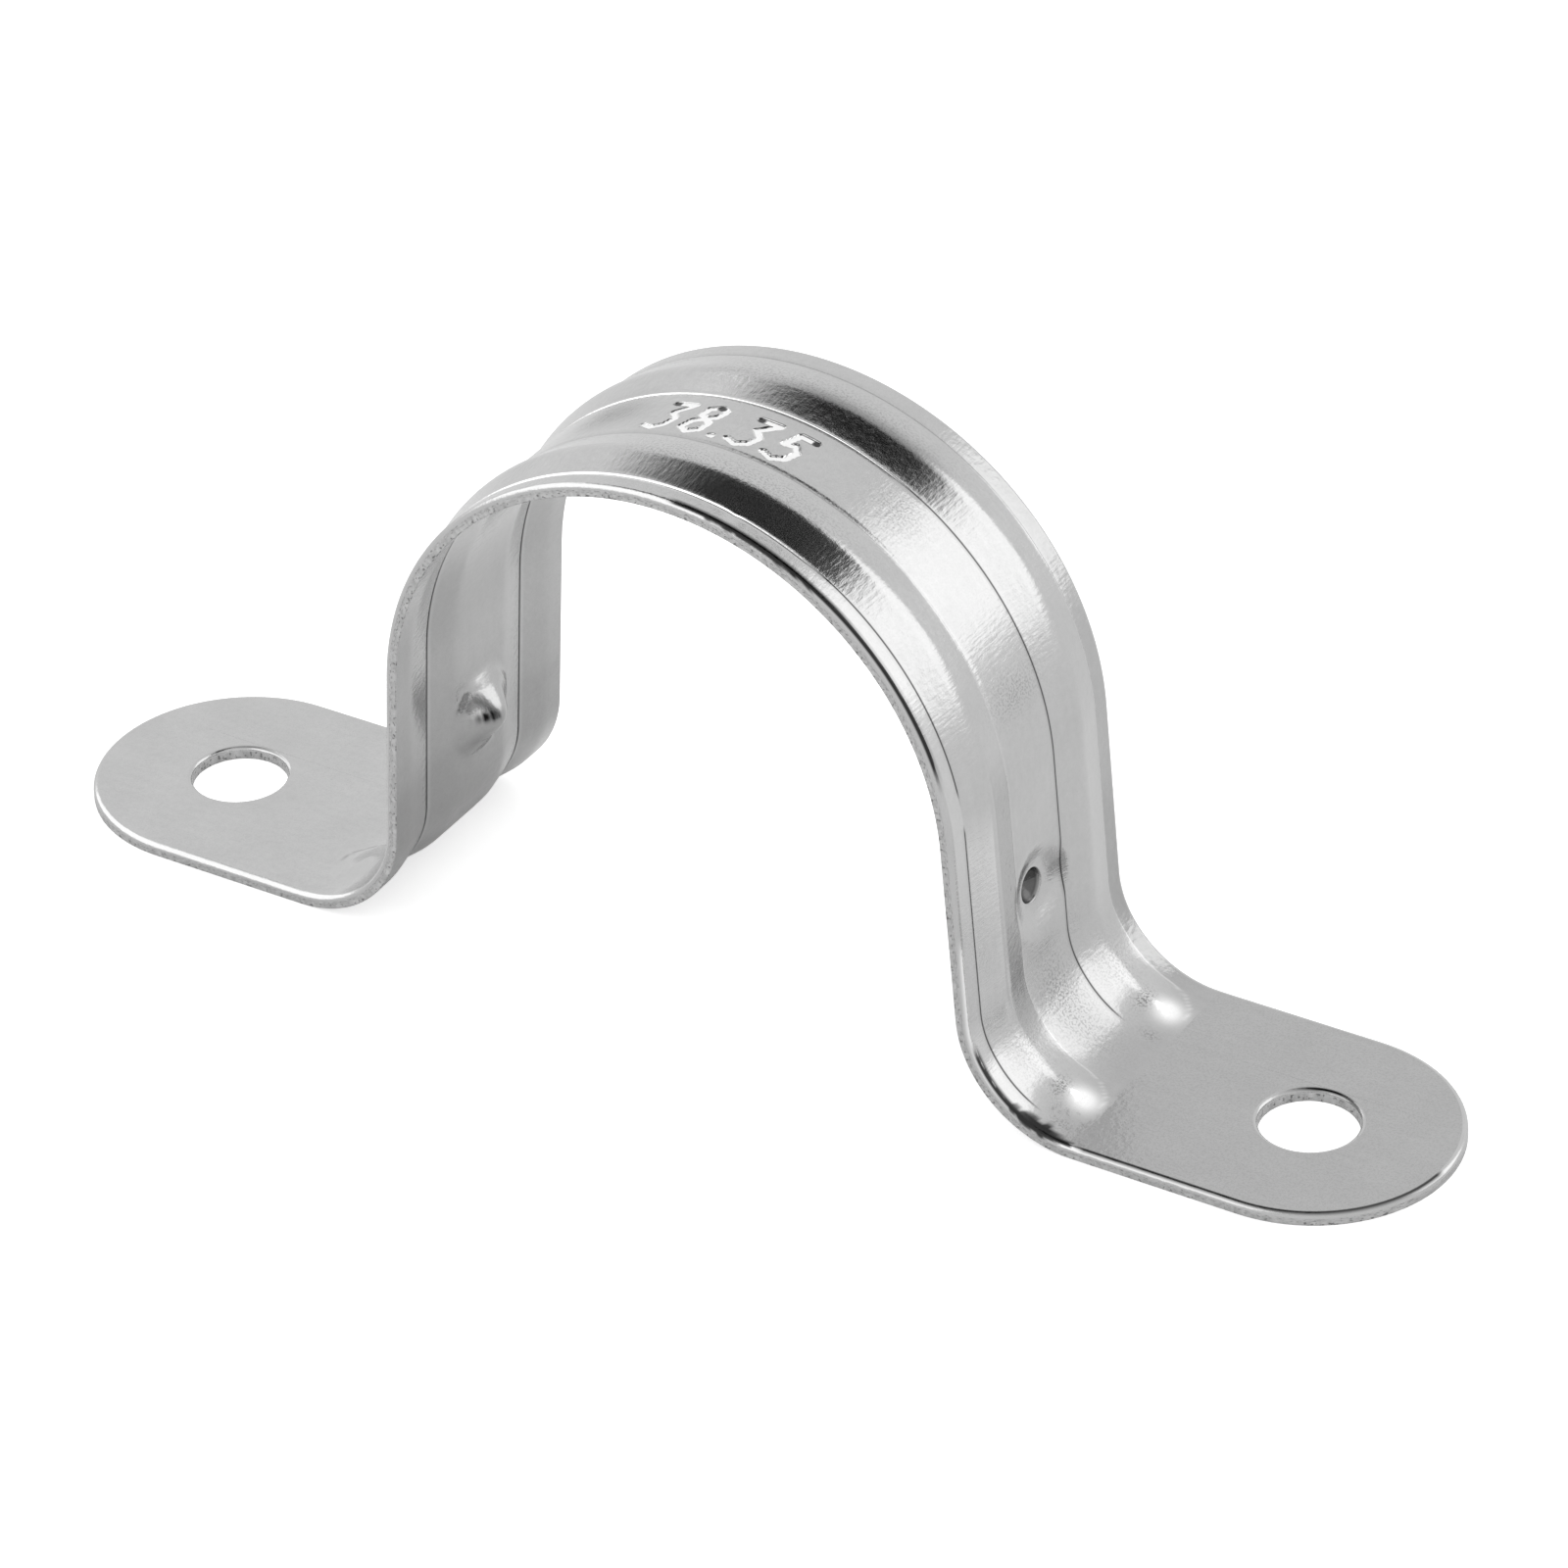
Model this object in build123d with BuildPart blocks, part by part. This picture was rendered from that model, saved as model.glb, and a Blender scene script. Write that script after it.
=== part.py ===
from build123d import *
import os
from math import acos, atan2, cos, hypot, radians, sin, sqrt, tan

# Omega clamp: a pipe strap pressed from one strip of plated steel.
# Millimetres, +Z up, X along the strap, Y along the pipe.
# The origin lies midway between the two screw holes, on the face that
# bears on the wall.

# Driving dimensions
pipe_radius = 19.175
pipe_clearance = 0.125
sheet = 0.85
strap_width = 18.8
arch_centre_z = 18.0
leg_splay = 3.9
bend_radius = 7.05
hole_spacing = 78.0
hole_radius = 3.1
ear_overhang = 9.5
rim_chamfer = 0.25

# Pressed ribs
rib_pitch = 10.5
rib_width = 5.1
rib_flank_angle = 11.5
rib_crest_radius = 2.5
rib_nose_angle = 28.0

# Dimples that snap under the pipe
dimple_drop = 7.8
dimple_clearance = 0.08
dimple_foot_radius = 2.9
dimple_waist_radius = 1.6
dimple_waist_height = 0.45
dimple_tip_radius = 0.5
dimple_tip_wall = 0.5
pit_mouth_radius = 3.0
pit_neck_radius = 1.1
pit_neck_depth = 0.6
pit_floor_radius = 0.4

# Derived sizes
arch_radius = pipe_radius + pipe_clearance
outer_radius = arch_radius + sheet
half_width = strap_width / 2
hole_x = hole_spacing / 2
ear_end_x = hole_x + ear_overhang
splay = radians(leg_splay)
across = Vector(cos(splay), 0, sin(splay))
down = Vector(sin(splay), 0, -cos(splay))
arch_centre = Vector(0, 0, arch_centre_z)
bend_reach = outer_radius + bend_radius
leg_length = (arch_centre_z + bend_reach * sin(splay) - sheet - bend_radius) / cos(splay)
bend_centre = arch_centre + across * bend_reach + down * leg_length
flank = radians(rib_flank_angle)
rib_half = rib_width / 2
rib_y = rib_pitch / 2
crest_height = rib_half * tan(flank) - rib_crest_radius * (1 / cos(flank) - 1)
groove_half = rib_half - sheet * tan(flank / 2)
groove_depth = groove_half * tan(flank)
tip_reach = pipe_radius + dimple_clearance + dimple_tip_radius
tip_centre = arch_radius - sqrt(tip_reach**2 - dimple_drop**2)
dimple_height = tip_centre + dimple_tip_radius
pit_floor = dimple_height - dimple_tip_wall

# How far the tools that add or cut run past the face they work on
bury = 0.2
overrun = 0.3


def on_profile(point):
    """Position of a point of the profile plane, as sketch coordinates."""
    return (point.X, point.Z)


def path_of(radius_at_arch, radius_at_bend):
    """Half of a line that runs along the sheet, from the crown to a rib's nose."""
    centre = on_profile(arch_centre)
    turn = on_profile(bend_centre)
    knee = arch_centre + across * radius_at_arch
    with BuildLine(Plane.XZ) as path:
        CenterArc(centre, radius_at_arch, 90, leg_splay - 90)
        Line(on_profile(knee), on_profile(knee + down * leg_length))
        CenterArc(turn, radius_at_bend, 180 + leg_splay, 90 - leg_splay - rib_nose_angle)
    return path.wire()


def nose_plane(distance, reach):
    """Cross plane under a rib's nose, with its Y axis square to the chord of the nose."""
    along = radians(rib_nose_angle)
    lean = along - reach / (2 * distance)
    foot = bend_centre - Vector(sin(along), 0, cos(along)) * distance
    return Plane(foot, x_dir=(0, 1, 0), z_dir=(cos(lean), 0, -sin(lean)))


# One rib as it stands proud of the outer face, crown to nose
with BuildPart() as rib:
    with BuildSketch(Plane((0, 0, arch_centre_z + outer_radius), x_dir=(0, 1, 0), z_dir=(1, 0, 0))):
        with BuildLine() as rib_section:
            foot_y = rib_half + bury / tan(flank)
            crest_y = rib_crest_radius * sin(flank)
            crest_z = crest_height - rib_crest_radius * (1 - cos(flank))
            Polyline((-crest_y, crest_z), (-foot_y, -bury), (foot_y, -bury), (crest_y, crest_z))
            ThreePointArc((crest_y, crest_z), (0, crest_height), (-crest_y, crest_z))
        make_face()
    sweep(path=path_of(outer_radius, bend_radius))
    under_nose = nose_plane(bend_radius, rib_half)
    with BuildSketch(under_nose):
        with BuildLine():
            Polyline((0, crest_height), (0, -bury), (foot_y, -bury), (crest_y, crest_z))
            middle = (rib_crest_radius * sin(flank / 2), crest_height - rib_crest_radius * (1 - cos(flank / 2)))
            ThreePointArc((crest_y, crest_z), middle, (0, crest_height))
        make_face()
    revolve(axis=Axis(under_nose.origin, under_nose.y_dir * -1), revolution_arc=180)

# The groove that the same rib leaves in the inner face
with BuildPart() as groove:
    with BuildSketch(Plane((0, 0, arch_centre_z + arch_radius), x_dir=(0, 1, 0), z_dir=(1, 0, 0))):
        with BuildLine():
            mouth_y = groove_half + overrun / tan(flank)
            Polyline((0, groove_depth), (-mouth_y, -overrun), (mouth_y, -overrun), close=True)
        make_face()
    sweep(path=path_of(arch_radius, bend_radius + sheet))
    under_nose = nose_plane(bend_radius + sheet, groove_half)
    with BuildSketch(under_nose):
        with BuildLine():
            Polyline((0, groove_depth), (0, -overrun), (mouth_y, -overrun), close=True)
        make_face()
    revolve(axis=Axis(under_nose.origin, under_nose.y_dir * -1), revolution_arc=180)

# Dimple as it stands proud of a leg's inner face
dimple_plane = Plane(
    arch_centre + across * arch_radius + down * dimple_drop,
    x_dir=down,
    z_dir=(0, 1, 0),
)
dimple_axis = Axis(dimple_plane.origin, across * -1)
with BuildPart() as dimple:
    with BuildSketch(dimple_plane):
        with BuildLine():
            rise = tip_centre - dimple_waist_height
            reach = hypot(dimple_waist_radius, rise)
            lean = acos(dimple_tip_radius / reach) - atan2(rise, dimple_waist_radius)
            shoulder = (dimple_tip_radius * cos(lean), tip_centre + dimple_tip_radius * sin(lean))
            foot_run = dimple_foot_radius - dimple_waist_radius
            buried_foot = dimple_foot_radius + bury * foot_run / dimple_waist_height
            Polyline(
                (0, dimple_height),
                (0, -bury),
                (buried_foot, -bury),
                (dimple_waist_radius, dimple_waist_height),
                shoulder,
            )
            halfway = (lean + radians(90)) / 2
            ThreePointArc(
                shoulder,
                (dimple_tip_radius * cos(halfway), tip_centre + dimple_tip_radius * sin(halfway)),
                (0, dimple_height),
            )
        make_face()
    revolve(axis=dimple_axis)

# The pit behind it, open to the leg's outer face
with BuildPart() as pit:
    with BuildSketch(dimple_plane):
        with BuildLine():
            neck = (pit_neck_radius, pit_neck_depth - sheet)
            mouth_run = pit_mouth_radius - pit_neck_radius
            open_mouth = pit_mouth_radius + overrun * mouth_run / pit_neck_depth
            Polyline(
                (0, pit_floor),
                (0, -sheet - overrun),
                (open_mouth, -sheet - overrun),
                neck,
                (pit_floor_radius, pit_floor - pit_floor_radius),
            )
            corner = pit_floor_radius * sin(radians(45))
            ThreePointArc(
                (pit_floor_radius, pit_floor - pit_floor_radius),
                (corner, pit_floor - pit_floor_radius + corner),
                (0, pit_floor),
            )
        make_face()
    revolve(axis=dimple_axis)

# Strip bent to the omega profile, then cut to its outline
with BuildPart() as omega_clamp:
    with BuildSketch(Plane.XZ) as profile:
        with BuildLine():
            inner_knee = arch_centre + across * arch_radius
            outer_knee = arch_centre + across * outer_radius
            inner_ankle = inner_knee + down * leg_length
            outer_ankle = outer_knee + down * leg_length
            centre = on_profile(arch_centre)
            turn = on_profile(bend_centre)
            CenterArc(centre, arch_radius, leg_splay, 90 - leg_splay)
            Line(on_profile(inner_knee), on_profile(inner_ankle))
            CenterArc(turn, bend_radius + sheet, 180 + leg_splay, 90 - leg_splay)
            Polyline(
                (bend_centre.X, 0),
                (ear_end_x, 0),
                (ear_end_x, sheet),
                (bend_centre.X, sheet),
            )
            CenterArc(turn, bend_radius, 180 + leg_splay, 90 - leg_splay)
            Line(on_profile(outer_ankle), on_profile(outer_knee))
            CenterArc(centre, outer_radius, leg_splay, 90 - leg_splay)
            Line((0, arch_centre_z + outer_radius), (0, arch_centre_z + arch_radius))
        make_face()
        mirror(about=Plane.YZ)
    extrude(amount=half_width, both=True)
    with BuildSketch(Plane.XY) as plan:
        SlotOverall(2 * ear_end_x, strap_width)
    extrude(amount=arch_centre_z + 2 * outer_radius, mode=Mode.INTERSECT)
    with Locations((hole_x, 0, sheet), (-hole_x, 0, sheet)):
        Hole(hole_radius, depth=sheet)
    skin = omega_clamp.faces().filter_by(lambda face: face.normal_at().Z > 0.01)
    rims = skin.edges().filter_by(Axis.Y, reverse=True)
    chamfer(rims, rim_chamfer)
    for y in (-rib_y, rib_y):
        at_rib = Location((0, y, 0))
        add(rib.part.moved(at_rib))
        add(mirror(rib.part, about=Plane.YZ, mode=Mode.PRIVATE).moved(at_rib))
        add(groove.part.moved(at_rib), mode=Mode.SUBTRACT)
        add(mirror(groove.part, about=Plane.YZ, mode=Mode.PRIVATE).moved(at_rib), mode=Mode.SUBTRACT)
    add(dimple.part)
    add(mirror(dimple.part, about=Plane.YZ, mode=Mode.PRIVATE))
    add(pit.part, mode=Mode.SUBTRACT)
    add(mirror(pit.part, about=Plane.YZ, mode=Mode.PRIVATE), mode=Mode.SUBTRACT)

omega_clamp.part.label = "omega_clamp"
os.makedirs("parts", exist_ok=True)
export_step(omega_clamp.part, "parts/omega_clamp.step")
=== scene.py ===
from math import cos, pi, radians, sin, tan
import bpy
import numpy as np
from mathutils import Matrix, Vector
from mathutils.geometry import tessellate_polygon


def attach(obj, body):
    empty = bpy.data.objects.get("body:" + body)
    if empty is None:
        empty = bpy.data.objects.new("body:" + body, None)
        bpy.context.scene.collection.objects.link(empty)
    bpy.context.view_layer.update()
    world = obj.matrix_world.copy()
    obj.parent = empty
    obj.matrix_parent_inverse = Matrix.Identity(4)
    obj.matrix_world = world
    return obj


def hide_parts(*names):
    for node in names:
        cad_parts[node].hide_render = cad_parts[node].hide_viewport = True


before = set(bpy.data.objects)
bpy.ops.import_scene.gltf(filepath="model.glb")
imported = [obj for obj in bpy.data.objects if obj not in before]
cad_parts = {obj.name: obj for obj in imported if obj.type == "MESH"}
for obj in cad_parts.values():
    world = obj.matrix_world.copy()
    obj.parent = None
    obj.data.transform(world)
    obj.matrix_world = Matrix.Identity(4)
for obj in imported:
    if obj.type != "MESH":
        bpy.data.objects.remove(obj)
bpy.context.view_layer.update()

# Omega clamp, drawn as one closed skin. Sizes are millimetres until Shell.build.
# u is the length from the crown along the outer face, positive to the right.
# y runs along the pipe, negative to the front.

# Strap
PIPE_R, CLEARANCE = 19.175, 0.125
SHEET, WIDTH = 0.85, 18.8
ARCH_Z, SPLAY, BEND_R = 18.0, radians(3.9), 7.05
HOLE_X, HOLE_R, EAR = 39.0, 3.1, 9.5
ROLL, HOLE_ROLL, BURR, MID_WALL = 0.35, 0.28, 0.05, 0.58

# Ribs
RIB_Y, RIB_HALF, FLANK, CREST_R, NOSE = 5.25, 2.55, radians(11.5), 2.5, radians(24)
CREST_SAG, FOOT_CUT, NOSE_SWELL = 0.016, 0.09, 0.05
GROOVE_LINE_H, GROOVE_LINE_R = 0.05, 0.05

# Dimples: a pit in a dish outside, a nub inside; the left one sits a little higher
PIT_DROP, LEFT_SHIFT = 7.8, 0.3
PIT_R, PIT_DEPTH, DISH_R, DISH_DEPTH = 1.12, 0.85, 3.4, 0.66
NUB_R, NUB_H, NUB_FADE = 1.9, 1.85, (2.6, 3.3)

# Pressed number, and a small dent on the front margin
BASELINE, SLANT, STROKE, STAMP_DEPTH = -1.85, 0.22, 0.23, 0.07
DENT_DEPTH, DENT_PLACE = 0.06, (4.9, -8.0, 0.35, 0.5)

# Lengths that follow from these
INNER_R = PIPE_R + CLEARANCE
OUTER_R = INNER_R + SHEET
HALF = WIDTH / 2
EDGE = HALF - ROLL
TURN = pi / 2 - SPLAY
ACROSS = np.array([cos(SPLAY), 0, sin(SPLAY)])
DOWN = np.array([sin(SPLAY), 0, -cos(SPLAY)])
UP = np.array([0.0, 0.0, 1.0])
BACK = np.array([0.0, 1.0, 0.0])
LEG = (ARCH_Z + (OUTER_R + BEND_R) * sin(SPLAY) - SHEET - BEND_R) / cos(SPLAY)
BEND = ARCH_Z * UP + ACROSS * (OUTER_R + BEND_R) + DOWN * LEG
U1 = OUTER_R * TURN
U2 = U1 + LEG
U3 = U2 + BEND_R * TURN
CREST_H = RIB_HALF * tan(FLANK) - CREST_R * (1 / cos(FLANK) - 1)
GROOVE_HALF = RIB_HALF - SHEET * tan(FLANK / 2)

# Offsets that keep the faces' patterns apart in the UV map
UV_SCALE = 0.01
INNER_UV, RIM_UV, WALL_UV, BURR_UV = 40, 10, 12, 13
HOLE_UV, HOLE_ROLL_UV, HOLE_WALL_UV = 60, 20, 22

# Marks of a plain corner: painted shade, painted highlight, half the tone and fleck. The tone
# channel also carries painted light and shade.
HALF_TONE, FLECK = 0.5, 0.05
PLAIN = (0.0, 0.0, HALF_TONE, FLECK)
# The right ear's lower tone is painted shade, and it also makes that ear lumpier
RIGHT_EAR, LEFT_EAR = (0, 0, 0.42, 0.12), (0, 0, 0.5, 0.03)

ROLL_ANGLES = np.radians([0, 18, 36, 54, 72, 90])


# Shaping functions
def smooth(x, low, high):
    """0 below low, 1 above high."""
    t = np.clip((x - low) / (high - low), 0, 1)
    return t * t * (3 - 2 * t)


def stretch(x, rise, fall):
    """0, then 1 from the end of rise to the start of fall, then 0."""
    return smooth(x, *rise) * (1 - smooth(x, *fall))


def line(x, at, width):
    return np.exp(-(((x - at) / width) ** 2))


def spot(u, y, at_u, at_y, wide, tall):
    return line(u, at_u, wide) * line(y, at_y, tall)


def spots(u, y, table):
    """Sum of spots: each row is (amount, u, y, width, height)."""
    return sum(amount * spot(u, y, *place) for amount, *place in table)


def soft_plus(x, k):
    return 0.5 * (x + np.sqrt(x * x + k * k))


def skeleton(u):
    """Outer face at u: point, normal and tangent, and the inner face's scale."""
    a, s = np.abs(u), np.where(u < 0, -1.0, 1.0)
    arch = pi / 2 - a / OUTER_R
    turn = pi + SPLAY + (a - U2) / BEND_R
    leg = np.outer(a - U1, DOWN) + ARCH_Z * UP + OUTER_R * ACROSS
    ray = np.stack([np.cos(arch), 0 * a, np.sin(arch)], 1)
    hub = np.stack([np.cos(turn), 0 * a, np.sin(turn)], 1)
    first, last = (a <= U1)[:, None], (a > U2)[:, None]
    p = np.where(first, ray * OUTER_R + ARCH_Z * UP, np.where(last, hub * BEND_R + BEND, leg))
    n = np.where(first, ray, np.where(last, -hub, ACROSS))
    t = np.stack([n[:, 2], 0 * a, -n[:, 0]], 1)
    scale = np.where(a <= U1, INNER_R / OUTER_R, bend_scale(u))
    one = np.ones_like(s)
    mirror = np.stack([s, one, one], 1)
    return p * mirror, n * mirror, t * np.stack([one, one, s], 1), scale


def bend_scale(u):
    """How much longer the inner face is than the outer one round a bend."""
    return np.where(np.abs(u) > U2, 1 + SHEET / BEND_R, 1.0)


def rib_distance(u, y, scale=1.0):
    """Distance from the middle line of the nearest rib."""
    past = np.maximum(np.abs(u) - (U3 - BEND_R * NOSE), 0) * scale
    return np.hypot(past, np.abs(y) - RIB_Y)


def from_crest(y):
    """y measured from the nearest rib's crest, negative on its front flank."""
    return (np.abs(y) - RIB_Y) * np.sign(y)


def dimple_offset(u):
    """Distance down the leg from a dimple's centre."""
    return np.abs(u) - U1 - PIT_DROP + np.where(u < 0, LEFT_SHIFT, 0)


RING_REACH, RING_CORE = 2.2, 1.4


def ring_warp(u, y):
    """Bends the square grid round each pit into circles."""
    du = dimple_offset(u)
    rho = np.maximum(np.abs(du), np.abs(y))
    r = np.maximum(np.hypot(du, y), 1e-9)
    grow = (1 - smooth(rho, RING_CORE, RING_REACH)) * (rho / r - 1) * (rho < RING_REACH)
    return u + np.where(u < 0, -1, 1) * du * grow, y * (1 + grow)


# A plain number pressed in between the ribs, drawn as strokes
GLYPHS = {
    "3": [(0.1, 3.1), (1.5, 3.1), (0.75, 1.95), (1.45, 1.35), (1.35, 0.45), (0.75, 0.0),
          (0.0, 0.3)],
    "8": [(0.75, 3.2), (1.35, 2.85), (1.3, 2.1), (0.2, 1.3), (0.1, 0.45), (0.75, 0.0),
          (1.4, 0.45), (1.35, 1.3), (0.2, 2.1), (0.15, 2.85), (0.75, 3.2)],
    "5": [(1.5, 3.1), (0.4, 3.1), (0.25, 1.8), (0.9, 2.0), (1.45, 1.5), (1.4, 0.5),
          (0.75, 0.0), (0.0, 0.3)],
    ".": [(0.1, 0.1), (0.22, 0.1)],
}
NUMBER = [("3", -5.6), ("8", -3.1), (".", -0.75), ("3", 0.35), ("5", 2.85)]
NUMBER_REACH = (6.4, 2.3)
FAR = 9.0


def strokes():
    """Segments of the number, and the first point of each digit."""
    segments, heads = [], []
    for mark, left in NUMBER:
        pts = np.array([(x + SLANT * y + left, y + BASELINE) for x, y in GLYPHS[mark]])
        segments += list(zip(pts[:-1], pts[1:]))
        if mark != ".":
            heads.append(pts[0])
    return segments, heads


STROKES, HEADS = strokes()


def stroke_distance(u, y):
    near = (np.abs(u) < NUMBER_REACH[0]) & (np.abs(y) < NUMBER_REACH[1])
    best = np.full(u.shape, FAR)
    q = np.stack([u[near], y[near]], -1)
    d = np.full(len(q), FAR)
    for a, b in STROKES:
        ab = b - a
        f = np.clip(((q - a) @ ab) / (ab @ ab), 0, 1)
        d = np.minimum(d, np.linalg.norm(q - a - f[:, None] * ab, axis=1))
    best[near] = d
    return best


# Relief of the two faces, over the plain bent sheet
def outer_relief(u, y):
    d = rib_distance(u, y)
    nose = smooth(np.abs(u), 43.5, 46.5)
    cone = (RIB_HALF - d) * tan(FLANK)
    cap = CREST_H - CREST_R + np.sqrt(np.maximum(CREST_R**2 - d**2, 0))
    rib = np.where(d < CREST_R * sin(FLANK), cap, cone)
    rib = soft_plus(rib - CREST_SAG, 0.015 + 0.12 * nose)
    foot = stretch(d - RIB_HALF, (0.0, 0.08), (0.08, 0.4)) * (1 - nose)
    foot = foot * np.where(from_crest(y) < 0, 1 - smooth(u, 9, 13), 0.4)
    swell = spot(np.abs(u), np.abs(y), 50.6, RIB_Y, 1.15, 1.4)
    r = np.hypot(dimple_offset(u), y)
    dish = DISH_DEPTH * smooth(DISH_R - r, 0, DISH_R - PIT_R)
    pit = PIT_DEPTH * np.sqrt(np.clip((PIT_R - r) / PIT_R, 0, 1))
    stamp = 1 - smooth(stroke_distance(u, y), STROKE - 0.05, STROKE + 0.05)
    dent = DENT_DEPTH * spot(u, y, *DENT_PLACE)
    return rib - FOOT_CUT * foot + NOSE_SWELL * swell - dish - pit - STAMP_DEPTH * stamp - dent


def inner_relief(u, y):
    d = rib_distance(u, y, bend_scale(u))
    groove = soft_plus((GROOVE_HALF - d) * tan(FLANK), 0.06)
    groove = groove + GROOVE_LINE_H * line(d, 0, GROOVE_LINE_R)
    r = np.hypot(dimple_offset(u), y)
    return groove - NUB_H * line(r, 0, NUB_R) * (1 - smooth(r, *NUB_FADE))


# Marks. In each table a row starts with its amount.
NUMBER_HEAD = (0.25, 0.34)

# Strips of the right leg, painted light where the amount is positive and painted shade where it is
# negative: amount, rise and fall in u, reach in y
PAINTED_LEG_STRIPS = [
    (-0.12, (8, 14), (49, 52), (7.85, HALF)),
    (-0.10, (34, 38), (49, 52), (7.85, HALF)),
    (-0.20, (26, 30), (44, 47), (-5.0, -2.7)),
    (0.24, (28, 32), (41, 45), (-7.8, -5.4)),
    (0.13, (18, 24), (44, 47), (-HALF, -7.85)),
]
# Painted shade: a darker patch on the crown's channel, and a darker patch over the highlight in
# the right bend
PAINTED_SHADE_SPOTS = [
    (-0.42, -9.5, 0.5, 2.6, 1.8),
    (-0.14, 47.5, 0.0, 3.5, 2.6),
]
# Painted highlights on the rib noses at the right bend
PAINTED_NOSE_HIGHLIGHTS = [
    (1.3, 51.3, -5.2, 1.0, 1.0),
    (1.3, 51.3, 5.3, 1.0, 1.0),
]
FLECK_SPOTS = [
    (1.0, 49.7, -5.4, 0.55, 0.8),
    (1.0, 49.7, 4.9, 0.55, 0.9),
    (0.5, 51.4, -7.8, 0.7, 0.4),
    (0.5, 51.6, 2.8, 0.7, 0.4),
    (0.6, 46.0, 0.0, 3.5, 1.8),
    (0.5, 24.5, 0.0, 1.2, 2.6),
    (0.4, 11.5, 0.5, 1.6, 1.8),
    (0.3, 46.5, -5.2, 2.0, 1.6),
    (0.3, 46.5, 5.2, 2.0, 1.6),
]


def wedge(u, inward, spread):
    """Painted dark reflection, a streak along the front rim: at the crown's right and round the
    right bend.
    """
    ragged = 1 + 0.25 * np.sin(u * 5.1) + 0.12 * np.sin(u * 8.3 + 1.3)
    crown = stretch(u, (0.5, 6.5), (9.0, 13.0)) + 0.2 * stretch(u, (8, 12), (22, 27))
    bend = 0.15 * smooth(u, 43.0, 46.0) + 1.3 * smooth(u, 47.5, 50.0)
    bend = bend * (1 - smooth(u, 50.5, 53.0))
    size = np.maximum((crown + bend) * ragged, 1e-6) * spread
    return (1 - smooth(inward / size, 0.6, 1.3)) * smooth(np.maximum(crown, bend), 0.0, 0.1)


def outer_marks(u, y):
    """Painted shade, painted highlight, half the tone and fleck of the outer face."""
    s = rib_distance(u, y) - RIB_HALF
    front_flank = from_crest(y) < 0

    # Along the ribs' feet: a painted highlight line over the crown, a painted shade line down the
    # right leg
    crease = line(s, 0.03, 0.07)
    white_end = np.where(y < 0, 1 - smooth(u, 5.2, 5.8), 1 - smooth(u, 8, 12))
    white = 0.85 * line(s, 0.02, 0.06) * front_flank * smooth(u, -40, -20) * white_end
    gap = (y < 0) * stretch(u, (27.2, 27.5), (29.2, 29.5))
    black = crease * front_flank * stretch(u, (9, 13), (48.5, 50)) * (1 - gap)
    back_foot = crease * ~front_flank

    # The number: strokes brightened by a painted reflection, each with painted shade at its start
    head = np.min([np.hypot(u - p[0], y - p[1]) for p in HEADS], axis=0)
    stamped = 1 - smooth(stroke_distance(u, y), STROKE - 0.04, STROKE + 0.04)
    start = stamped * (1 - smooth(head, *NUMBER_HEAD))

    # Painted shade in and round the pit
    r = np.hypot(dimple_offset(u), y)
    pit = 0.8 * (1 - smooth(r, 1.06, 1.14)) + 0.12 * line(r, PIT_R - 0.05, 0.07)
    # A painted dark reflection band on the far rib over the crown
    far_band = stretch(u, (-2, 4), (9.5, 13.5)) * line(y, 4.25, 1.25)
    # Painted dark reflection along the front rim
    streak = wedge(u, y + EDGE, 0.14 + 0.3 * smooth(u, 44, 49))
    streak = streak * (1 - 0.6 * smooth(u, 13, 16) * (u < 44))
    painted_shade = black + 0.35 * back_foot * (1 - smooth(u, 8, 14)) + pit + 0.9 * start
    painted_shade = painted_shade + 0.72 * far_band + 0.95 * streak

    painted_highlight = white + 0.3 * back_foot * smooth(u, 12, 16) + stamped * (1 - start)
    painted_highlight = painted_highlight + spots(u, y, PAINTED_NOSE_HIGHLIGHTS)

    # Painted shade towards the right ear and at the spots, then painted light and shade along the
    # leg's strips
    tone = 1 - 0.16 * smooth(u, 49, 52) + spots(u, y, PAINTED_SHADE_SPOTS)
    for amount, rise, fall, reach in PAINTED_LEG_STRIPS:
        tone = tone + amount * stretch(u, rise, fall) * (y > reach[0]) * (y < reach[1])

    bands = stretch(u, (-6, -2), (6, 15)) * (line(y, -4.6, 1.3) + line(y, 5.9, 1.3))
    fleck = spots(u, y, FLECK_SPOTS) + 0.35 * bands
    fleck = fleck * (1 - smooth(np.abs(u), 51.6, 52.6)) + 0.03
    return np.stack([painted_shade, painted_highlight, HALF_TONE * tone, fleck], -1)


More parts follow.
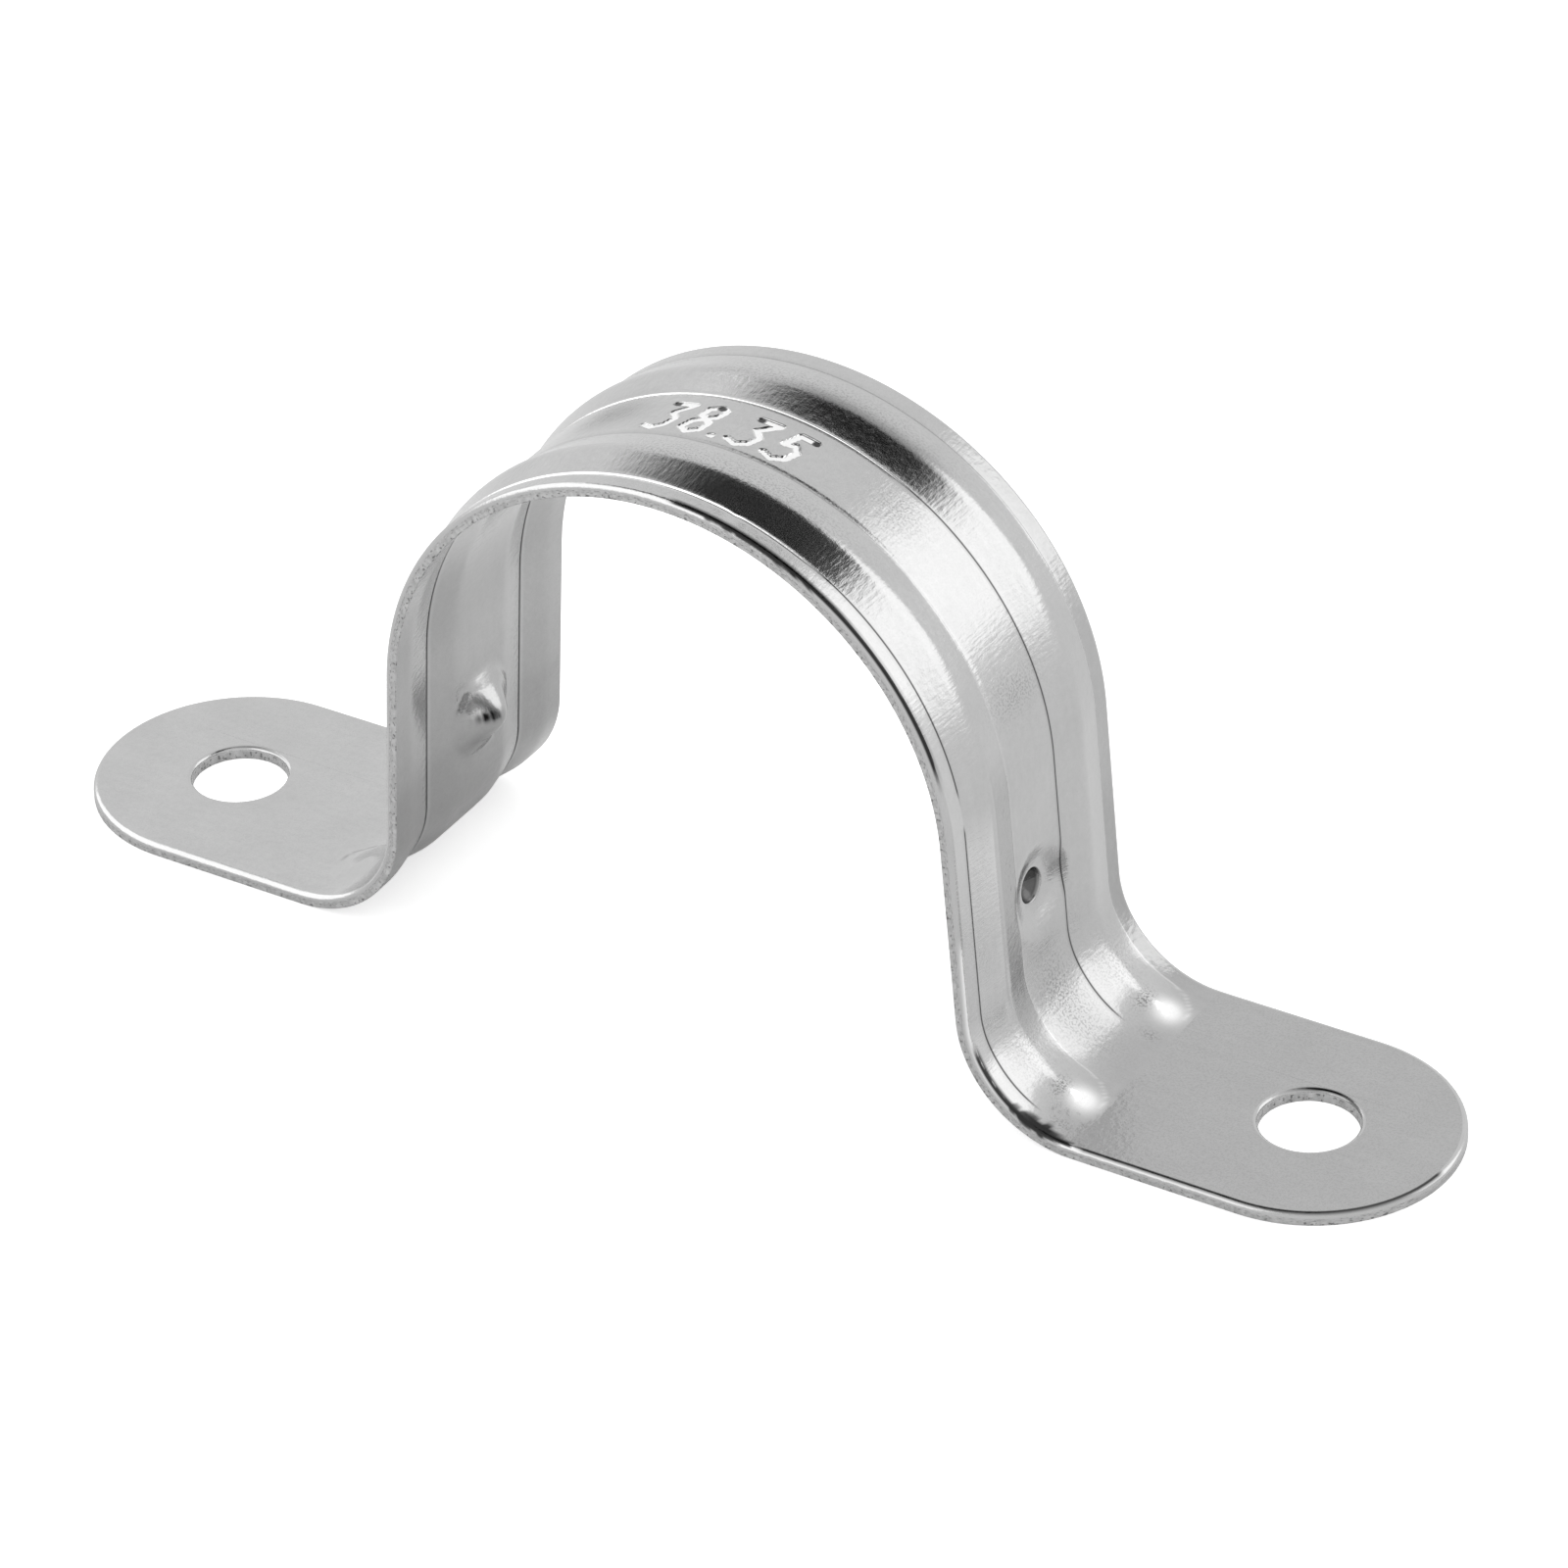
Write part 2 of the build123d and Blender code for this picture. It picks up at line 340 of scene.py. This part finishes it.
def inner_marks(u, y):
    """The same for the inner face; only its left leg shows in the photograph."""
    left, du = -u, dimple_offset(u)
    leg = 1 - 0.5 * smooth(left, 28, 33) + 0.4 * smooth(left, 38, 40)
    # Painted shade low on the nub, and a painted dark reflection band with streaks near its tip
    nub_painted_shade = 0.22 * spot(du, y, 1.6, -1.0, 0.6, 0.9)
    nub_painted_shade = nub_painted_shade + 1.3 * spot(du, y, -0.5, -0.95, 0.36, 0.7) * (0.8 + 0.35 * np.sin(y * 15))
    # Painted shade: dark lines along the grooves' bottoms, under the left bend and down the left
    # leg
    painted_shade = 0.95 * line(rib_distance(u, y, bend_scale(u)), 0, 0.07) + 0.45 * smooth(left, 43, 50)
    painted_shade = painted_shade + 0.17 * leg * stretch(left, (21, 26), (43, 45)) + nub_painted_shade * (u < 0)
    # Painted highlight lines beside the grooves, and painted light on the nub's flank
    painted_highlight = 0.4 * line(from_crest(y), 0.2, 0.06) * (np.abs(u) < 46)
    painted_highlight = painted_highlight + 0.6 * spot(du, y, -0.9, -1.6, 0.5, 0.6) * (u < 0)
    return np.stack([painted_shade, painted_highlight, 0.52 - 0.06 * smooth(left, 30, 40), FLECK + 0 * u], -1)


def rolled_marks(painted_shade, painted_highlight):
    """Marks of one row of corners along a rolled rim."""
    return np.stack([painted_shade, painted_highlight, HALF_TONE + 0 * painted_shade, FLECK + 0 * painted_shade], 1)


class Shell:
    """Collects vertices, and faces with a normal, UV and marks for each corner."""

    def __init__(self):
        self.v, self.n, self.uv, self.marks = [], [], [], []
        self.faces, self.corners, self.mats = [], [], []
        self.count = self.normals = 0

    def points(self, p):
        p = np.asarray(p, float).reshape(-1, 3)
        self.v.append(p)
        self.count += len(p)
        return np.arange(self.count - len(p), self.count)

    def corner_set(self, n, uv, marks=PLAIN):
        n = np.asarray(n, float).reshape(-1, 3)
        marks = np.asarray(marks, float).reshape(-1, 4)
        self.marks.append(np.broadcast_to(marks, (len(n), 4)))
        self.n.append(n / np.linalg.norm(n, axis=1)[:, None])
        self.uv.append(np.asarray(uv, float).reshape(-1, 2))
        self.normals += len(n)
        return np.arange(self.normals - len(n), self.normals)

    def quads(self, ids, nids, mat=0, flip=False):
        def corners(g):
            q = np.stack([g[:-1, :-1], g[1:, :-1], g[1:, 1:], g[:-1, 1:]], -1).reshape(-1, 4)
            return q[:, ::-1] if flip else q

        self.faces += corners(ids).tolist()
        self.corners += corners(nids).tolist()
        self.mats += [mat] * ((ids.shape[0] - 1) * (ids.shape[1] - 1))

    def polygon(self, ids, nids, mat=0):
        self.faces.append(list(ids))
        self.corners.append(list(nids))
        self.mats.append(mat)

    def build(self, name, materials):
        mesh = bpy.data.meshes.new(name)
        mesh.from_pydata(np.concatenate(self.v) * 0.001, [], self.faces)
        flat = np.concatenate([np.asarray(c) for c in self.corners])
        layer = mesh.uv_layers.new(name="UVMap")
        layer.data.foreach_set("uv", (np.concatenate(self.uv)[flat] * UV_SCALE).ravel())
        paint = mesh.attributes.new("marks", "FLOAT_COLOR", "CORNER")
        marks = np.clip(np.concatenate(self.marks)[flat], 0, 1)
        paint.data.foreach_set("color", marks.ravel())
        for m in materials:
            mesh.materials.append(m)
        mesh.polygons.foreach_set("material_index", self.mats)
        mesh.polygons.foreach_set("use_smooth", [True] * len(mesh.polygons))
        mesh.update()
        mesh.normals_split_custom_set(np.concatenate(self.n)[flat].tolist())
        return in_scene(name, mesh)


def in_scene(name, data):
    o = bpy.data.objects.new(name, data)
    bpy.context.scene.collection.objects.link(o)
    return o


# Grid lines of the two faces
def ladder(*runs):
    """Rising values: each run is (start, end, steps)."""
    parts = [np.linspace(a, b, n + 1) for a, b, n in runs]
    return np.unique(np.round(np.concatenate(parts), 6))


FINE_END, SLOPE_STEP = 6.2, 0.004


def half_lines(centre):
    pit = (centre - RING_REACH, centre + RING_REACH)
    return ladder(
        (0, FINE_END, 62), (FINE_END, U1, 42), (U1, pit[0], 9),
        (*pit, 44), (pit[1], U2, 4), (U2, U3, 48),
    )


right_u = half_lines(U1 + PIT_DROP)
left_u = half_lines(U1 + PIT_DROP - LEFT_SHIFT)
us = np.concatenate([-left_u[:0:-1], right_u])
side_y = ladder(
    (2.2, 2.58, 2), (2.58, 2.82, 6), (2.82, 4.7, 8), (4.7, 5.8, 7),
    (5.8, 7.7, 8), (7.7, 7.94, 6), (7.94, EDGE, 4),
)
ys = np.concatenate([-side_y[::-1], np.linspace(-2.1, 2.1, 43), side_y])
shell = Shell()


def face_grid(uu, yy, relief, marks, inner):
    """Adds one face of the sheet and returns its grid of vertices."""
    p, n, t, s = (x.reshape(*uu.shape, -1) for x in skeleton(uu.ravel()))
    e = SLOPE_STEP
    hu = (relief(uu + e, yy) - relief(uu - e, yy)) / (2 * e)
    hy = (relief(uu, yy + e) - relief(uu, yy - e)) / (2 * e)
    lift = relief(uu, yy) - (SHEET if inner else 0)
    hu = hu / (s[..., 0] if inner else 1)
    normal = n - hu[..., None] * t - hy[..., None] * BACK
    uv = np.stack([uu, yy + (INNER_UV if inner else 0)], -1)
    ids = shell.points(p + yy[..., None] * BACK + n * lift[..., None]).reshape(uu.shape)
    nids = shell.corner_set(-normal if inner else normal, uv, marks(uu, yy)).reshape(uu.shape)
    shell.quads(ids, nids, flip=inner)
    return ids


# Outer face
grid = ring_warp(*np.meshgrid(us, ys, indexing="ij"))
outer = face_grid(*grid, outer_relief, outer_marks, False)

# Inner face, which keeps every ninth of the crown's fine lines
keep = [i for i, u in enumerate(us) if abs(u) > FINE_END - 0.01 or i % 9 == len(left_u) % 9]
keep = np.array(keep)
inner_side = ladder((3.0, 5.1, 8), (5.1, 5.4, 10), (5.4, 8.2, 10), (8.2, HALF - BURR, 3))
inner_ys = np.concatenate([-inner_side[::-1], np.linspace(-2.85, 2.85, 39), inner_side])
grid = np.meshgrid(us[keep], inner_ys, indexing="ij")
inner = face_grid(*grid, inner_relief, inner_marks, True)

# Outline of an ear, from the strap's front edge round to its back edge
end_x = HOLE_X + EAR - HALF
straight = np.linspace(BEND[0], end_x, 16)[1:]
round_end = np.linspace(-pi / 2, pi / 2, 49)[1:]
outline_x = np.concatenate([straight, np.full(len(round_end), end_x), straight[-2::-1]])
facing = np.concatenate([0 * straight - pi / 2, round_end, 0 * straight[1:] + pi / 2])
n_ear = len(facing)
EAR_LINE_STATIONS = 37


def ear_stations(side):
    """Base points, outward directions and lengths from the crown along one ear's edge."""
    out = np.stack([side * np.cos(facing), np.sin(facing), 0 * facing], 1)
    base = np.stack([side * outline_x, 0 * facing, SHEET + 0 * facing], 1) + out * EDGE
    return base, out, side * (U3 + np.abs(base[:, 0]) - BEND[0])


def closed(g):
    """Joins the end of each row of a grid to its start."""
    return np.concatenate([g, g[:, :1]], 1)


right, left = ear_stations(1), ear_stations(-1)
flat_right = shell.points(right[0])
flat_left = shell.points(left[0])

# Rim: rolled over at the top, sheared below. Its stations run along the front edge,
# round the right ear, along the back edge and round the left ear.
m = len(us)
normals = skeleton(us)[1]
stations = np.concatenate([outer[:, 0], flat_right, outer[::-1, -1], flat_left[::-1]])
base = np.concatenate(shell.v)[stations]
out = [np.tile(-BACK, (m, 1)), right[1], np.tile(BACK, (m, 1)), left[1][::-1]]
out = np.concatenate(out)
up = [normals, np.tile(UP, (n_ear, 1)), normals[::-1], np.tile(UP, (n_ear, 1))]
up = np.concatenate(up)
along = np.concatenate([us, right[2], us[::-1], left[2][::-1]])
place = np.arange(len(along))
front = place < m
ear_line = (place >= m) & (place < m + EAR_LINE_STATIONS)

rows, rows_n, rows_uv, roll_marks = [], [], [], []
for a in ROLL_ANGLES:
    # Painted dark reflection along the front rim, a painted shade line along the right ear's front
    # rim, and a painted highlight along the right leg's front rim
    streak = wedge(along, np.full(len(along), abs(a - 0.35) - 0.3), 0.5)
    painted_shade = 0.95 * streak * front + 0.95 * ear_line * line(a, 0.3, 0.5)
    rim_painted_highlight = 0.9 * front * stretch(along, (36, 38), (46, 49)) * line(a, 0.6, 0.4)
    roll_marks.append(rolled_marks(painted_shade, rim_painted_highlight))
    rows.append(base + out * ROLL * sin(a) - up * ROLL * (1 - cos(a)))
    rows_n.append(up * cos(a) + out * sin(a))
    rows_uv.append(np.stack([along, np.full(len(along), RIM_UV + a)], 1))
for depth in (MID_WALL, SHEET - BURR):
    rows.append(base + out * ROLL - up * depth)
    rows_n.append(out)
    rows_uv.append(np.stack([along, np.full(len(along), WALL_UV + depth)], 1))


def roll_and_wall(ids, normals, uvs, marks, flip=False):
    """Adds the rolled rows as plated faces and the rows below them as sheared ones."""
    k = len(ROLL_ANGLES)
    roll = [shell.corner_set(*row) for row in zip(normals[:k], uvs[:k], marks)]
    wall = [shell.corner_set(*row) for row in zip(normals[k - 1:], uvs[k - 1:])]
    shell.quads(ids[:k], closed(np.array(roll)), flip=flip)
    shell.quads(ids[k - 1:], closed(np.array(wall)), mat=1, flip=flip)


rim = closed(np.array([stations] + [shell.points(r) for r in rows[1:]]))
roll_and_wall(rim, rows_n, rows_uv, roll_marks)

# Lower edge, joined to the inner face's coarser lines
kept = set(keep.tolist())
low_right, low_left = (
    shell.points(points + away * (ROLL - BURR) - SHEET * UP)
    for points, away, _ in (right, left)
)


def below(i):
    """Vertex of the lower face under station i, or None where there is no line."""
    if i < m:
        k, column = i, 0
    elif i < m + n_ear:
        return low_right[i - m]
    elif i < 2 * m + n_ear:
        k, column = 2 * m + n_ear - 1 - i, -1
    else:
        return low_left[2 * (m + n_ear) - 1 - i]
    return inner[np.searchsorted(keep, k), column] if k in kept else None


under = [(i, int(below(i))) for i in range(len(stations)) if below(i) is not None]
last = rim[-1]
burr_n = shell.corner_set(out - up, np.stack([along, np.full(len(along), BURR_UV)], 1))
for (i, low), (j, next_low) in zip(under, under[1:] + [(len(stations), under[0][1])]):
    run = [k % len(stations) for k in range(i, j + 1)]
    ids = [int(last[k]) for k in run]
    nid = [int(burr_n[k]) for k in run]
    shell.polygon([*ids[::-1], low, next_low], [*nid[::-1], nid[0], nid[-1]], mat=1)


# Flat faces of the ears, with the screw holes
def hole(side):
    """Adds a hole's rolled mouth and wall; returns its top and bottom rings."""
    deep, width = (1.3, 0.5) if side > 0 else (0.95, 0.25)
    th = np.linspace(0, 2 * pi, 97)[:-1]
    radial = np.stack([np.cos(th), np.sin(th), 0 * th], 1)
    centre = np.array([side * HOLE_X, 0, 0])
    unrolled = side * (HOLE_UV + th * HOLE_R)
    rows, normals, uvs, marks = [], [], [], []
    for a in ROLL_ANGLES:
        # Painted shade on one side of the hole's rolled mouth
        mouth_painted_shade = deep * line(a, 0.5, width) * line(th, 1.7, 0.65)
        marks.append(rolled_marks(mouth_painted_shade, 0 * mouth_painted_shade))
        r = HOLE_R + HOLE_ROLL * (1 - sin(a))
        rows.append(centre + radial * r + UP * (SHEET - HOLE_ROLL * (1 - cos(a))))
        normals.append(-radial * sin(a) + UP * cos(a))
        uvs.append(np.stack([unrolled, np.full(len(th), HOLE_ROLL_UV + a)], 1))
    for z in (0.3, 0.0):
        rows.append(centre + radial * HOLE_R + UP * z)
        normals.append(-radial)
        uvs.append(np.stack([unrolled, np.full(len(th), HOLE_WALL_UV - z)], 1))
    ids = closed(np.array([shell.points(r) for r in rows]))
    roll_and_wall(ids, normals, uvs, marks, flip=True)
    return ids[0, :-1], ids[-1, :-1]


def flat_face(loop, ring, side, upward):
    """Fills between an ear's outline and its hole."""
    v = np.concatenate(shell.v)
    ids = [*loop, *ring]
    loops = [[Vector((*v[i][:2], 0)) for i in part] for part in (loop, ring)]
    xy = v[ids]
    u = side * (U3 + np.abs(xy[:, 0]) - BEND[0])
    nid = shell.corner_set(
        np.tile(UP if upward else -UP, (len(ids), 1)),
        np.stack([u, xy[:, 1] + (0 if upward else INNER_UV)], 1),
        RIGHT_EAR if side > 0 else LEFT_EAR,
    )
    for t in tessellate_polygon(loops):
        a, b, c = (v[ids[k]] for k in t)
        order = t if (np.cross(b - a, c - a)[2] > 0) == upward else t[::-1]
        shell.polygon([int(ids[k]) for k in order], [int(nid[k]) for k in order])


for side, flat, low_ids, i in ((1, flat_right, low_right, -1), (-1, flat_left, low_left, 0)):
    top_ring, bottom_ring = hole(side)
    flat_face([*flat, *outer[i, ::-1]], top_ring, side, True)
    flat_face([*low_ids, *inner[i, ::-1]], bottom_ring, side, False)


# Materials
def node(tree, kind, **values):
    n = tree.nodes.new(kind)
    for k, v in values.items():
        setattr(n, k, v)
    return n


def noise(t, vector, scale, detail):
    n = node(t, "ShaderNodeTexNoise")
    n.inputs["Scale"].default_value = scale
    n.inputs["Detail"].default_value = detail
    t.links.new(vector, n.inputs["Vector"])
    return n.outputs["Fac"]


def streaky_noise(t, vector, scales, detail):
    """Noise with its own scale along u and across."""
    mapping = node(t, "ShaderNodeMapping")
    mapping.inputs["Scale"].default_value = (*scales, 1)
    t.links.new(vector, mapping.inputs["Vector"])
    return noise(t, mapping.outputs["Vector"], 1, detail)


def combine(t, operation, *values):
    """One Math node; each value is a socket or a number."""
    n = node(t, "ShaderNodeMath", operation=operation)
    for i, v in enumerate(values):
        if isinstance(v, (int, float)):
            n.inputs[i].default_value = v
        else:
            t.links.new(v, n.inputs[i])
    return n.outputs[0]


def step(t, value, low, high):
    n = node(t, "ShaderNodeMapRange", interpolation_type="SMOOTHSTEP")
    n.inputs["From Min"].default_value = low
    n.inputs["From Max"].default_value = high
    t.links.new(value, n.inputs["Value"])
    return n.outputs["Result"]


def blend(t, factor, a, b):
    """a where factor is 0, b where it is 1."""
    rise = combine(t, "SUBTRACT", b, a)
    return combine(t, "MULTIPLY_ADD", rise, factor, a)


def vary(t, pattern, amount, base):
    """base, more or less as the pattern is over or under its middle."""
    return combine(t, "MULTIPLY_ADD", combine(t, "SUBTRACT", pattern, 0.5), amount, base)


def bumps(t, *layers):
    """Stacked Bump nodes: each layer is (height, distance in metres)."""
    normal = None
    for height, distance in layers:
        n = node(t, "ShaderNodeBump")
        n.inputs["Distance"].default_value = distance
        n.inputs["Strength"].default_value = 1.0
        t.links.new(height, n.inputs["Height"])
        if normal:
            t.links.new(normal, n.inputs["Normal"])
        normal = n.outputs["Normal"]
    return normal


# Greys that the marks and pits blend towards: specks, painted highlight, painted shade, and
# painted shade on the sheared edge
PAINTED_HIGHLIGHT_GREY, FLECKED, PAINTED_SHADE_GREY, SHEAR_PAINTED_SHADE_GREY = 0.95, 0.12, 0.008, 0.015


def metal(name):
    """A metal material, with its tree, shader and UVs, and the marks' sockets."""
    mat = bpy.data.materials.new(name)
    mat.use_nodes = True
    t = mat.node_tree
    bsdf = t.nodes["Principled BSDF"]
    bsdf.inputs["Metallic"].default_value = 1.0
    uv = node(t, "ShaderNodeTexCoord").outputs["UV"]
    marks = node(t, "ShaderNodeAttribute", attribute_name="marks")
    parts = node(t, "ShaderNodeSeparateColor")
    t.links.new(marks.outputs["Color"], parts.inputs["Color"])
    return mat, t, bsdf, uv, [*parts.outputs[:3], marks.outputs["Alpha"]]


def plated_steel(tone, rough):
    mat, t, bsdf, uv, (painted_shade, painted_highlight, half_tone, fleck) = metal("plated_steel")
    cloud = noise(t, uv, scale=26, detail=3)
    patch = noise(t, uv, scale=210, detail=4)
    speckle = noise(t, uv, scale=620, detail=3)
    fine = noise(t, uv, scale=900, detail=3)
    fur = streaky_noise(t, uv, scales=(420, 95), detail=3)
    drawn = streaky_noise(t, uv, scales=(16, 150), detail=4)

    shade = 1.0
    for pattern, amount in ((patch, 0.12), (fine, 0.12), (cloud, 0.14), (drawn, 0.06)):
        shade = vary(t, pattern, amount, shade)
    # Half the tone scales the grey, which paints light and shade where the marks set it
    grey = combine(t, "MULTIPLY", combine(t, "MULTIPLY", shade, 2 * tone), half_tone)
    specks = combine(t, "MULTIPLY", step(t, speckle, 0.51, 0.57), fleck)
    grey = blend(t, combine(t, "MULTIPLY", specks, 0.8), grey, FLECKED)
    # Painted highlight, then painted shade, from the marks
    grey = blend(t, painted_highlight, grey, PAINTED_HIGHLIGHT_GREY)
    grey = blend(t, painted_shade, grey, PAINTED_SHADE_GREY)
    t.links.new(grey, bsdf.inputs["Base Color"])

    scuffed = combine(t, "MULTIPLY_ADD", fleck, 0.1, rough - 0.05)
    t.links.new(combine(t, "MULTIPLY_ADD", cloud, 0.1, scuffed), bsdf.inputs["Roughness"])

    # A darker tone is also lumpier, and the ears are smoother than the bent strap
    lumps = combine(t, "MULTIPLY", patch, combine(t, "MULTIPLY_ADD", half_tone, -9.0, 4.98))
    length = node(t, "ShaderNodeSeparateXYZ")
    t.links.new(uv, length.inputs["Vector"])
    on_ear = step(t, combine(t, "ABSOLUTE", length.outputs["X"]), 0.45, 0.51)
    on_strap = combine(t, "SUBTRACT", 1.0, on_ear)
    furry = combine(t, "MULTIPLY", fur, on_strap)
    sparkle = combine(t, "MULTIPLY", fine, combine(t, "MULTIPLY_ADD", on_strap, 0.75, 0.25))
    scratched = combine(t, "MULTIPLY", speckle, fleck)
    layers = (furry, 2e-5), (lumps, 3e-5), (sparkle, 5e-6), (scratched, 3e-5)
    t.links.new(bumps(t, *layers), bsdf.inputs["Normal"])
    return mat


def sheared_edge(tone, rough):
    mat, t, bsdf, uv, (painted_shade, *_) = metal("sheared_edge")
    grain = streaky_noise(t, uv, scales=(260, 90), detail=5)
    pits = step(t, noise(t, uv, scale=420, detail=3), 0.56, 0.64)
    grey = vary(t, grain, 0.9 * tone, tone)
    grey = blend(t, combine(t, "MULTIPLY", pits, 0.75), grey, FLECKED)
    # Painted shade from the marks
    grey = blend(t, painted_shade, grey, SHEAR_PAINTED_SHADE_GREY)
    t.links.new(grey, bsdf.inputs["Base Color"])
    bsdf.inputs["Roughness"].default_value = rough
    t.links.new(bumps(t, (grain, 4e-5), (pits, 2e-5)), bsdf.inputs["Normal"])
    return mat


plated = plated_steel(tone=0.52, rough=0.18)
sheared = sheared_edge(tone=0.5, rough=0.36)
strap = shell.build("pressed_strap", [plated, sheared])
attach(strap, "root")
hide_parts("omega_clamp")


# Floor, studio and camera, in metres
def empty_material(name):
    mat = bpy.data.materials.new(name)
    mat.use_nodes = True
    mat.node_tree.nodes.clear()
    return mat, mat.node_tree


def plane(name, corners):
    mesh = bpy.data.meshes.new(name)
    mesh.from_pydata(corners, [], [(0, 1, 2, 3)])
    return in_scene(name, mesh)


FLOOR_HALF, FLOOR_Z, FLOOR_GREY = 3, -1e-5, 0.8
FLOOR_LIFT, MIRRORED_SHARE = 0.6, 0.15


def floor_material():
    """White floor: lifted to white for the camera, and a little where metal mirrors it."""
    mat, t = empty_material("floor")
    diffuse = node(t, "ShaderNodeBsdfDiffuse")
    diffuse.inputs["Color"].default_value = (FLOOR_GREY, FLOOR_GREY, FLOOR_GREY, 1)
    rays = node(t, "ShaderNodeLightPath").outputs
    mirrored = combine(t, "ADD", rays["Is Glossy Ray"], rays["Is Transmission Ray"])
    shown = combine(t, "MULTIPLY_ADD", mirrored, MIRRORED_SHARE, rays["Is Camera Ray"])
    glow = node(t, "ShaderNodeEmission")
    t.links.new(combine(t, "MULTIPLY", shown, FLOOR_LIFT), glow.inputs["Strength"])
    both = node(t, "ShaderNodeAddShader")
    t.links.new(diffuse.outputs[0], both.inputs[0])
    t.links.new(glow.outputs[0], both.inputs[1])
    result = node(t, "ShaderNodeOutputMaterial")
    t.links.new(both.outputs[0], result.inputs["Surface"])
    return mat


q = FLOOR_HALF
floor = plane("floor", [(-q, -q, FLOOR_Z), (q, -q, FLOOR_Z), (q, q, FLOOR_Z), (-q, q, FLOOR_Z)])
floor.data.materials.append(floor_material())

world = bpy.data.worlds.new("studio")
bpy.context.scene.world = world
world.use_nodes = True
background = world.node_tree.nodes["Background"]
background.inputs["Color"].default_value = (1, 1, 1, 1)
background.inputs["Strength"].default_value = 1.0

CARD_EDGE, CARD_CORE = 0.8, 0.03
AIM = Vector((0, 0, 0.025))


def direction(az, el):
    a, e = radians(az), radians(el)
    return Vector((sin(a) * cos(e), -cos(a) * cos(e), sin(e)))


def card(name, x0, x1, y0, y1, z):
    """A level dark panel over the strap, in millimetres, that shows in reflections only."""
    corners = [(x0, y0, z), (x0, y1, z), (x1, y1, z), (x1, y0, z)]
    o = plane(name, [Vector(c) * 0.001 for c in corners])
    o.visible_camera = o.visible_diffuse = o.visible_shadow = False
    mat, t = empty_material(name)
    across = node(t, "ShaderNodeSeparateXYZ")
    t.links.new(node(t, "ShaderNodeTexCoord").outputs["Generated"], across.inputs["Vector"])
    reach = step(t, across.outputs["X"], 0.0, 0.5)
    fade = combine(t, "MULTIPLY_ADD", reach, CARD_CORE - CARD_EDGE, CARD_EDGE)
    glow = node(t, "ShaderNodeEmission")
    t.links.new(fade, glow.inputs["Strength"])
    t.links.new(glow.outputs[0], node(t, "ShaderNodeOutputMaterial").inputs["Surface"])
    o.data.materials.append(mat)


def softbox(name, az, el, distance, width, height, level, lights_floor=True):
    light = bpy.data.lights.new(name, "AREA")
    light.shape = "RECTANGLE"
    light.size, light.size_y = width, height
    light.energy = level * pi * width * height
    o = in_scene(name, light)
    d = direction(az, el)
    o.location = AIM + d * distance
    o.rotation_mode = "QUATERNION"
    o.rotation_quaternion = d.to_track_quat("Z", "Y")
    o.visible_camera = False
    o.visible_diffuse = lights_floor


card("overhead_card", x0=-60, x1=39, y0=-3.7, y1=29, z=80)
softbox("key", az=133, el=27, distance=1.5, width=1.15, height=1.1, level=0.8)
softbox("rim_light", az=-60, el=38, distance=1.5, width=3.4, height=1.7, level=0.95,
        lights_floor=False)

# The photograph's camera, as fitted: angles in degrees, place in millimetres,
# focal length in pixels of a 1600 px frame
CAMERA_AZ, CAMERA_EL, CAMERA_ROLL = 32.4878, 33.4473, radians(-2.0269)
SIGHT, SIGHT_RIGHT, SIGHT_UP, DISTANCE = Vector((0, 0, 15)), 2.1936, -2.1586, 449.0285
FOCAL_PX, FRAME_PX, SENSOR = 7492.4478, 1600, 36.0

cam_data = bpy.data.cameras.new("camera")
cam = in_scene("camera", cam_data)
back = direction(CAMERA_AZ, CAMERA_EL)
level_x = Vector((cos(radians(CAMERA_AZ)), sin(radians(CAMERA_AZ)), 0))
level_y = back.cross(level_x)
place = SIGHT + level_x * SIGHT_RIGHT + level_y * SIGHT_UP + back * DISTANCE
x_dir = cos(CAMERA_ROLL) * level_x + sin(CAMERA_ROLL) * level_y
y_dir = cos(CAMERA_ROLL) * level_y - sin(CAMERA_ROLL) * level_x
turn = Matrix((x_dir, y_dir, back)).transposed().to_4x4()
cam.matrix_world = Matrix.Translation(place * 0.001) @ turn
cam_data.sensor_width = SENSOR
cam_data.lens = FOCAL_PX * SENSOR / FRAME_PX
cam_data.clip_start, cam_data.clip_end = 0.01, 50
bpy.context.scene.camera = cam

bpy.context.scene.view_settings.view_transform = "Standard"
